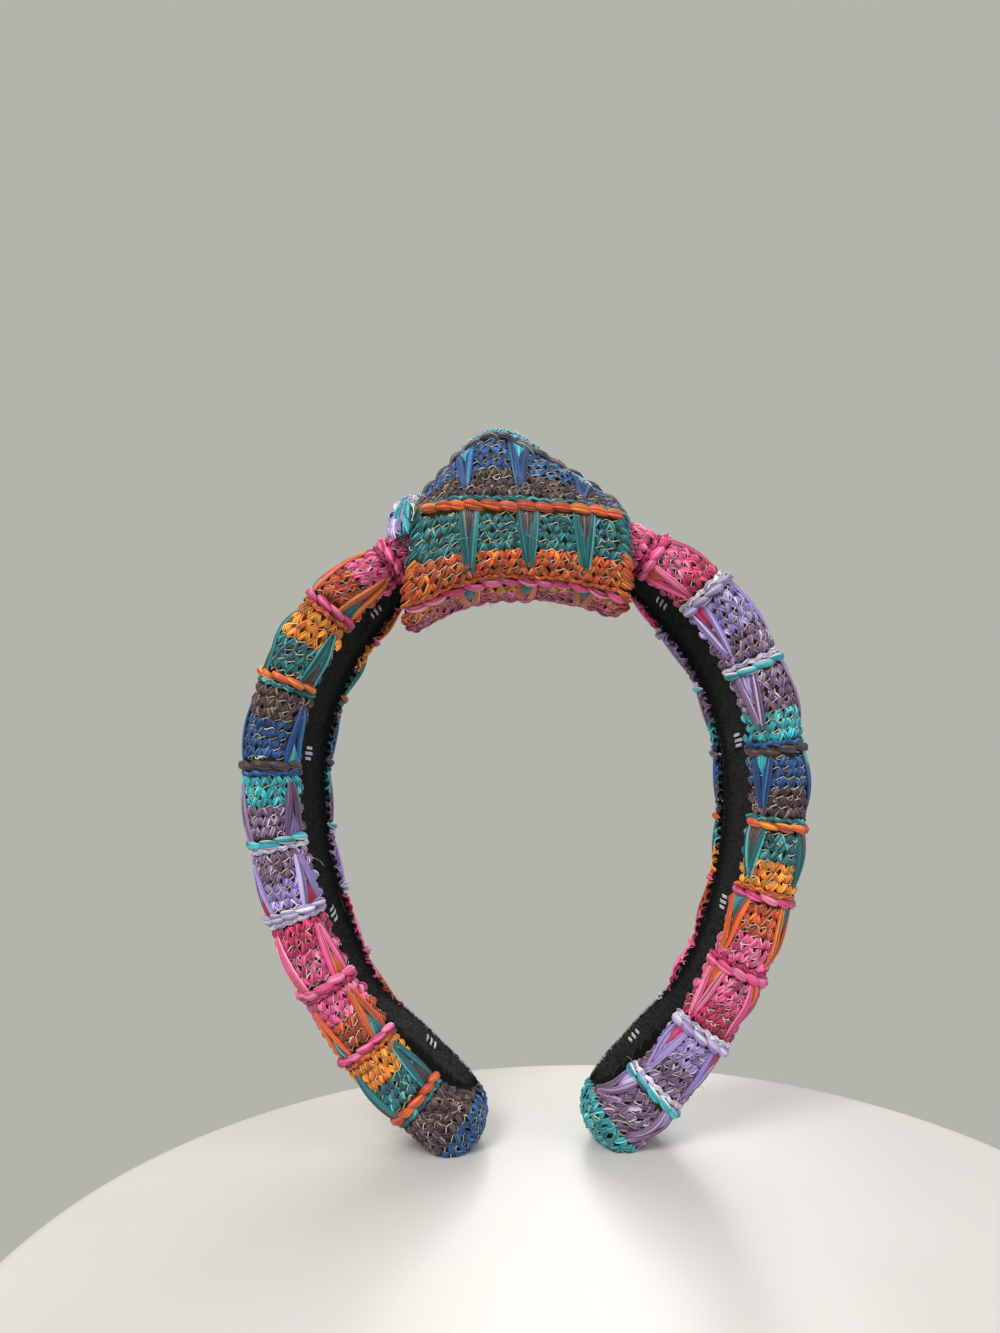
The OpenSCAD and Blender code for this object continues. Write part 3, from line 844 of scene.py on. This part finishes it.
def build_lining(name, first, last, side, nodes):
    """Velvet over the core: a strip with soft edges, rounded where it ends at a tip."""
    count = int(abs(last - first) / 1.2) + 2
    s_values = np.linspace(first, last, count)
    if side:
        close = LINING_END * (1 - np.cos(np.linspace(0, math.pi / 2, 12)))
        past = LINING_END + 0.2
        s_values = (np.concatenate([first + close, np.linspace(first + past, last, count)])
                    if side == "left" else
                    np.concatenate([np.linspace(first, last - past, count), last - close[::-1]]))
    half = lining_half(s_values)
    if side:
        end = first if side == "left" else last
        into = np.clip((LINING_END - np.abs(s_values - end)) / LINING_END, 0, 0.9999)
        half = half * np.sqrt(1 - into ** 2)
    columns = 13
    across = np.sin(np.linspace(-math.pi / 2, math.pi / 2, columns))
    s, v = s_values[:, None] + 0 * across, half[:, None] * across
    crown = 0.45 * (1 - across ** 4)
    curl = 1.5 * (1 - near_tip(s)) * np.abs(across) ** 9
    face = place(s, v, -0.15 - lining_rise(s) - crown - curl)
    back = place(s[:, ::-1], v[:, ::-1], 0.9 - 0.6 * lining_rise(s))
    points = np.concatenate([face, back], axis=1)
    rows, wide = points.shape[:2]
    quads = grid_quads(rows, wide, closed=True)
    flat = np.zeros((rows, wide, 3))
    flat[..., 0] = s_values[:, None]
    flat[..., 1] = np.concatenate([v, v[:, ::-1] + 60], axis=1)
    ends = [[i, wide - 1 - i, wide - 2 - i, i + 1] for i in range(columns - 1)]
    last_row = (rows - 1) * wide
    ends += [[last_row + k for k in face_[::-1]] for face_ in ends]
    piece = mesh_from_lists(name, points.reshape(-1, 3), np.concatenate([quads, np.array(ends)]),
                            VELVET, flat.reshape(-1, 3))
    pile = Yarn()
    n = len(s_values) * (72 if side else 40)
    i = rng.integers(0, len(s_values), n)
    a = rng.uniform(-1, 1, n)
    edge = rng.random(n) < 0.4
    a = np.where(edge, np.sign(a) * (1 - 0.03 * rng.random(n)), a)
    sv = s_values[i] + rng.uniform(-0.6, 0.6, n)
    hv = half[i] * a
    rise = 0.45 * (1 - a ** 4) + 1.5 * (1 - near_tip(sv)) * np.abs(a) ** 9 + lining_rise(sv)
    root = place(sv, hv, -0.1 - rise)
    tip_at = place(sv + rng.normal(0, 0.25, n), hv + rng.normal(0, 0.2, n),
                   -0.75 - rise + rng.normal(0, 0.12, n))
    path = np.stack([root, (root + tip_at) / 2, tip_at], axis=1)
    nrm = np.broadcast_to(np.array([0.0, 1.0, 0.0]), path.shape)
    dark = np.full((n, 3), 0.006) * rng.uniform(0.5, 1.8, (n, 1))
    taper = np.array([0.05, 0.045, 0.015])
    pile.add(path, nrm, taper, taper, dark, 3)
    pile_piece = pile.piece(name + "_pile", PILE)
    attach(piece, side, "velvet", *nodes)
    attach(pile_piece, side, "velvet")


TACK_PLACES = (46, 92, 138, 184)


def build_threads(side):
    """The seam stitches along the lining's edges and the short plain tacks across its middle."""
    sign = -1 if side == "left" else 1
    seam, tacks = Yarn(), Yarn()
    s = np.arange(38, ARM_END - 5, 3.6)
    steps = np.linspace(0, 1, 5)
    for edge in (-1, 1):
        along = sign * (s[:, None] + 2.2 * steps)
        v = edge * (lining_half(along) - 0.7 + 0.9 * steps)
        h = -0.55 - lining_rise(along) - 0.35 * np.sin(math.pi * steps) + 0.6 * steps + 0 * along
        p = place(along, v, h)
        n = np.broadcast_to(np.array([0.0, 1.0, 0.0]), p.shape)
        seam.add(p, n, 0.16, 0.14, np.full((len(s), 3), 0.006), 5)
    for place_s in TACK_PLACES:
        lean = rng.uniform(-0.5, 0.5)
        for offset in (-1.5, 0.0, 1.5):
            t = steps[None]
            v = (t - 0.5) * (4.6 if offset == 0 else 3.4) + rng.normal(0, 0.2)
            along = sign * (place_s + offset) + lean * (t - 0.5) * 2
            h = -0.75 - lining_rise(along) - 0.55 * np.sin(math.pi * t)
            p = place(along, v, h)
            n = np.broadcast_to(place(along, v, h - 1) - p, p.shape)
            for k in (-0.22, 0.22):
                tacks.add(p + np.array([0, 0, k]), unit(n), 0.24, 0.18, pick("white", 1, 0.05) * 0.9, 6)
    attach(seam.piece(side + "_seam_threads", THREAD), side, "dark_thread", side + "_seam_stitches")
    attach(tacks.piece(side + "_tack_threads", THREAD), side, "white_thread", side + "_bar_tacks")


# ---------------------------------------------------------------- the knot
KNOT_KINDS = "BOPMLT"
KNOT_SPIKES = (-13.5, 2.0, 18.0)
KNOT_EDGE = {"B": ("blue", "brown"), "O": ("teal", "orange"), "P": ("rust", "pink"),
             "M": ("pink", "crimson"), "L": ("lavender", "mauve"), "T": ("mauve", "turquoise")}
KNOT_ROPES = {"L": ["lavender", "white"], "T": ["turquoise", "white"], "B": ["brown", "brown", "blue"]}
KNOT_ROWS_OF = {
    "O": ["teal"] * 4 + ["orange"] * 3,
    "P": ["gold", "pink", "rust", "pink", "crimson", "pink", "crimson"]}


def knot_line(u0):
    """Lines along the knot at ridge u0: t from the left mouth, side towards the next ridge."""
    def line(t, side):
        x = -KNOT_HALF + 0.2 + t
        return knot(np.clip(x, -KNOT_HALF, KNOT_HALF), u0 + side / 21.0)
    return line


def build_knot():
    threads, cords, long, binding = Yarn(), Yarn(), Yarn(), Yarn()
    columns = np.linspace(-KNOT_HALF + 0.2, KNOT_HALF - 1.6, 20)
    blocks = []
    for k, kind in enumerate(KNOT_KINDS):
        rope_name, chain, first, second, spikes, short = FABRIC[kind]
        yarn = Yarn()
        cuts = np.linspace(k + 0.09, k + 0.88, ROWS + 1)
        names = KNOT_ROWS_OF.get(kind, [first] * 4 + [second] * 3)
        crochet(yarn, threads, knot, list(zip(cuts[:-1], cuts[1:])), columns, names, False)
        blocks.append(yarn.piece(f"knot_stitches_{k + 1}", RAFFIA))
        line = knot_line(k)
        size = (0.62, 0.5) if kind in "PB" else (0.85, 0.7)
        rope(cords, line, 12, 4.75, *size, KNOT_ROPES.get(kind, [rope_name]))
        zigzag(cords, line, 18, 3.15, -1.95, 0.6, chain)
        for x in KNOT_SPIKES:
            at = x + rng.normal(0, 0.4)
            spike(long, lambda t, v, at=at, k=k: knot(np.clip(at + v, -28, 28), k + 0.05 + t / 22.0),
                  17.8, 2.5, spikes, short, INNER_PART.get(kind, 0.45))
    turn = np.radians(np.linspace(-15, 195, 8))
    for sign in (-1, 1):
        u = np.arange(0, 6, 0.055)[:, None]
        x = sign * (KNOT_HALF - 1.2 + 1.6 * np.sin(turn)) + rng.normal(0, 0.22, (len(u), 1))
        lean = 0.04 * (turn - 1) + rng.normal(0, 0.02, (len(u), 1))
        p, n = knot(np.clip(x, -KNOT_HALF - 0.9, KNOT_HALF + 0.9), u + lean)
        p = p + n * (-1.1 + 1.45 * np.cos(turn) + rng.normal(0, 0.12, (len(u), 1)))[..., None]
        for i, kind in enumerate(KNOT_KINDS):
            for half in (0, 1):
                here = ((u >= i + 0.5 * half) & (u < i + 0.5 + 0.5 * half))[:, 0]
                binding.bundle(p[here], n[here], 4, 1.2, 0.28, 0.24, KNOT_EDGE[kind][half])
    ridge_piece = cords.piece("knot_ridge_cords", RAFFIA)
    others = [long.piece("knot_long_stitches", RAFFIA), threads.piece("knot_fine_threads", THREAD),
              binding.piece("knot_edge_stitches", RAFFIA)]
    for piece in blocks:
        attach(piece, None, "raffia_crochet")
    attach(ridge_piece, None, "raffia_ridge", "knot_ridges")
    for piece in others:
        attach(piece, None, "raffia_crochet")
    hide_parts("knot_wrap")


def build_knot_cloth():
    """The wrap's backing cloth, a tube open at both mouths."""
    x_values = np.linspace(-KNOT_HALF + 0.3, KNOT_HALF - 0.3, 40)
    u_values = np.linspace(0, 6, 121)[:-1]
    x, u = np.meshgrid(x_values, u_values, indexing="ij")
    p, n = knot(x, u)
    outer, inner = p - n * 1.7, p - n * 2.5
    rows, wide = outer.shape[:2]
    points = np.concatenate([outer.reshape(-1, 3), inner.reshape(-1, 3)])
    q = grid_quads(rows, wide, closed=True)
    m = rows * wide
    i = np.arange(wide)
    j = (i + 1) % wide
    rims = np.concatenate([np.stack([i, j, m + j, m + i], -1),
                           np.stack([i, m + i, m + j, j], -1) + (rows - 1) * wide])
    flat = np.zeros((2 * m, 3))
    flat[:, 0] = np.tile(x.ravel(), 2)
    flat[:, 1] = np.tile(u.ravel() * 22, 2)
    faces = np.concatenate([q, q[:, ::-1] + m, rims])
    cloth = mesh_from_lists("knot_cloth", points, faces, CLOTH, flat)
    attach(cloth, None, "backing_cloth", "knot_backing")


def build_side_fold():
    """The second fold of the cover, which bulges out of the knot's left mouth over the arm."""
    yarn = Yarn()
    centre = np.array([-30.7, 0.0, FOLD_Z - 11.4])
    first, last = math.radians(40), math.radians(160)

    def surface(a, b, r):
        out = np.stack([np.sin(b) + 0 * a, np.cos(b) * np.cos(a), np.cos(b) * np.sin(a)], -1)
        ring = centre + np.stack([0 * (a + b), 20.0 * np.cos(a) + 0 * b,
                                  (17.4 + 1.2 * np.sin(b)) * np.sin(a)], -1)
        return ring + out * r[..., None] * np.array([1.5, 1, 1]), out

    steps = np.linspace(0, 1, 8)
    names = ("lavender", "white", "turquoise", "lavender", "turquoise", "white")
    for number, name in enumerate(names):
        a = rng.uniform(first, last - 0.2, 16)[:, None] + 0.42 * steps
        b = -1.7 + number * 0.6 + 0.45 * np.sin(3 * a + number) + rng.normal(0, 0.1, (16, 1))
        r = 1.7 + 0.8 * np.sin(math.pi * steps) + 0.12 * rng.standard_normal((16, 1))
        p, out = surface(np.minimum(a, last), b, r)
        yarn.bundle(p, out, 4, 1.3, 0.32, 0.26, name)
    a = np.linspace(first, last, 60)[None] + 0 * np.zeros((12, 1))
    b = np.linspace(-1.8, 1.9, 12)[:, None] + 0.12 * np.sin(a * 9)
    close = np.sqrt(1 - np.clip(np.abs(a - (first + last) / 2) * 2 / (last - first), 0, 0.995) ** 6)
    p, out = surface(a, b, 1.7 * close)
    yarn.bundle(p, out, 3, 1.0, 0.42, 0.3, "turquoise")
    attach(yarn.piece("knot_side_fold_strands", RAFFIA), None, "raffia_crochet", "knot_side_fold")


FOOT_X = 23.1  # middle of the sewn edge under a tip


def build_tip_seam(side):
    """The cover's edge folded flat under a tip: rounds of yarn one above the other."""
    sign = -1 if side == "left" else 1
    yarn = Yarn()
    around = np.linspace(0, 2 * math.pi, 90)
    x, y = FOOT_X + 4.6 * spow(np.cos(around), 0.6), 10.6 * spow(np.sin(around), 0.6)
    out = unit(np.stack([x - FOOT_X, (y / 2.2), 0 * x], -1)) * np.array([sign, 1, 1])
    colour = "blue" if side == "left" else "turquoise"
    for level, inward in ((0.35, 0.0), (0.72, 0.15), (0.35, 0.9), (0.35, 1.9), (0.35, 3.0), (0.35, 3.9)):
        wave = 0.12 * np.sin(around * 28 + level * 9)
        p = np.stack([sign * x, y, level + 0 * x], -1) - out * (inward + wave)[..., None]
        yarn.bundle(p[None], out[None], 3, 0.5, 0.26, 0.24, colour)
    piece = yarn.piece(side + "_tip_seam_yarn", RAFFIA, 0.03)
    attach(piece, side, "raffia_crochet", side + "_tip_seam")


def build_closing_stitches():
    closing = Yarn()
    steps = np.linspace(0, 1, 6)
    x = np.arange(-22, 23, 2.6)
    xx = x[:, None] + 1.6 * steps
    uu = 2.5 + 0.05 * np.sin(math.pi * steps) + 0.06 * (steps - 0.5) + 0 * xx
    p, n = knot(xx, uu)
    closing.add(p + n * (0.2 + 0.5 * np.sin(math.pi * steps))[None, :, None], n, 0.16, 0.14,
                np.full((len(x), 3), 0.02), 5)
    piece = closing.piece("knot_closing_threads", THREAD)
    attach(piece, None, "dark_thread", "knot_closing_stitches")


def build_crown_stitches():
    """The cover under the knot, seen only through its mouths."""
    crown = Yarn()
    threads = Yarn()
    cuts = np.linspace(-17, 17, 11)
    crochet(crown, threads, band, list(zip(cuts[:-1], cuts[1:])), np.linspace(0, 1, COLUMNS + 1),
            ["pink"] * 5 + ["crimson"] * 5, True)
    attach(crown.piece("crown_stitches", RAFFIA), None, "raffia_crochet", "crown_cover")


def build_wisps():
    """Loose fibres that stand off the surface."""
    for side in ("left", "right"):
        sign = -1 if side == "left" else 1
        yarn = Yarn()
        n = 45
        s = sign * rng.uniform(32, ARM_END - 4, n)[:, None]
        u = rng.uniform(0.0, 1.0, n)[:, None]
        steps = np.linspace(0, 1, 7)
        curl = rng.normal(0, 4, (2, n, 1))
        bow = 1.2 * np.sin(5 * steps + rng.uniform(0, 6, (n, 1)))
        p, nrm = band(s + curl[0] * steps + bow, np.clip(u + (curl[1] * steps ** 2 + bow) / GIRTH, 0, 1))
        p = p + nrm * (0.2 + rng.uniform(0.5, 3.0, (n, 1)) * steps ** 1.6)[..., None]
        yarn.add(p, nrm, 0.04, 0.04, pick("cream", n) * 0.8, 3)
        attach(yarn.piece(side + "_loose_fibres", THREAD, FLOOR_GAP), side, "raffia_crochet")
    yarn = Yarn()
    n = 50
    x = rng.uniform(-27, 27, n)[:, None]
    u = rng.uniform(0, 6, n)[:, None]
    steps = np.linspace(0, 1, 7)
    p, nrm = knot(np.clip(x + rng.normal(0, 4, (n, 1)) * steps, -28.5, 28.5),
                  u + rng.normal(0, 0.2, (n, 1)) * steps)
    p = p + nrm * (0.2 + rng.uniform(1.0, 3.5, (n, 1)) * steps ** 1.6)[..., None]
    yarn.add(p, nrm, 0.04, 0.04, pick("cream", n) * 0.8, 3)
    attach(yarn.piece("knot_loose_fibres", THREAD), None, "raffia_crochet")


for side, ridges in (("left", LEFT_RIDGES), ("right", RIGHT_RIDGES)):
    sign = -1 if side == "left" else 1
    build_arm(side, ridges)
    join = sign * PAD_JOIN
    tip = sign * (ARM_END + CAP_LEN - 0.4)
    build_padding(side + "_padding", *sorted((tip, join)), [side + "_foam", side + "_backing"], side)
    end = sign * (ARM_END + 1.0)
    build_lining(side + "_velvet", *sorted((end, join)), side, [side + "_lining"])
    build_threads(side)
    build_tip_seam(side)
build_padding("crown_padding", -CROWN_PAD, CROWN_PAD, ["crown_foam"], None)
build_lining("crown_velvet", -CROWN_PAD, CROWN_PAD, None, ["crown_lining"])
build_knot()
build_knot_cloth()
build_side_fold()
build_closing_stitches()
build_crown_stitches()
build_wisps()

for name, look in (("knot_filler", FOAM), ("crown_core", PLASTIC),
                   ("left_core", PLASTIC), ("right_core", PLASTIC)):
    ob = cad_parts[name]
    ob.data.materials.clear()
    ob.data.materials.append(look)


# ---------------------------------------------------------------- floor, light and camera
def floor_look(nodes, links, bsdf):
    grain = solid_pattern(nodes, links, "TexNoise", 30)
    white = plain(nodes, (0.66, 0.64, 0.64))
    tinted(nodes, links, bsdf, white, grain.outputs["Fac"], 0.3, 0.7, 0.97, 1.0)
    bsdf.inputs["Roughness"].default_value = 0.35


bpy.ops.mesh.primitive_cylinder_add(vertices=256, radius=0.128, depth=0.03,
                                    location=(0.006, -0.064, -0.015))
floor = bpy.context.object
floor.name = "floor"
bevel = floor.modifiers.new("soft_edge", "BEVEL")
bevel.width, bevel.segments, bevel.limit_method = 0.006, 6, "ANGLE"
floor.data.shade_smooth()
floor.data.materials.append(material("floor", floor_look))

world = bpy.data.worlds.new("studio")
bpy.context.scene.world = world
world.use_nodes = True
world.node_tree.nodes["Background"].inputs[0].default_value = (0.60, 0.61, 0.55, 1)
world.node_tree.nodes["Background"].inputs[1].default_value = 0.75


def area_light(name, place_m, size, watts, colour):
    data = bpy.data.lights.new(name, "AREA")
    data.shape, data.size, data.energy, data.color = "DISK", size, watts, colour
    ob = bpy.data.objects.new(name, data)
    ob.location = place_m
    ob.rotation_mode = "QUATERNION"
    ob.rotation_quaternion = (Vector((0, 0, 0.1)) - Vector(place_m)).to_track_quat("-Z", "Y")
    bpy.context.scene.collection.objects.link(ob)


area_light("key", (-0.45, -0.65, 0.85), 0.5, 9.0, (1.0, 0.97, 0.92))
area_light("fill", (0.75, -0.45, 0.45), 0.7, 3.0, (0.95, 0.98, 1.0))
area_light("back", (0.1, 0.8, 0.6), 0.6, 4.0, (1.0, 0.98, 0.95))

CAMERA_PLACE = (-4.351, -284.732, WIDEST_Z + 11.944)
YAW, PITCH, ROLL = -0.0053, 0.0651, 0.0302
camera_data = bpy.data.cameras.new("camera")
camera_data.sensor_fit, camera_data.sensor_width, camera_data.lens = "HORIZONTAL", 36.0, 36.07
camera_data.clip_start = 0.01
camera = bpy.data.objects.new("camera", camera_data)
bpy.context.scene.collection.objects.link(camera)
forward = Vector((math.sin(YAW) * math.cos(PITCH), math.cos(YAW) * math.cos(PITCH), math.sin(PITCH)))
right0 = Vector((math.cos(YAW), -math.sin(YAW), 0))
up0 = Vector((-math.sin(YAW) * math.sin(PITCH), -math.cos(YAW) * math.sin(PITCH), math.cos(PITCH)))
right = right0 * math.cos(ROLL) - up0 * math.sin(ROLL)
up = right0 * math.sin(ROLL) + up0 * math.cos(ROLL)
axes = Matrix((right, up, -forward)).transposed()
camera.matrix_world = Matrix.Translation(Vector(CAMERA_PLACE) * MM) @ axes.to_4x4()
bpy.context.scene.camera = camera
bpy.context.scene.view_settings.view_transform = "Standard"

bpy.context.view_layer.update()
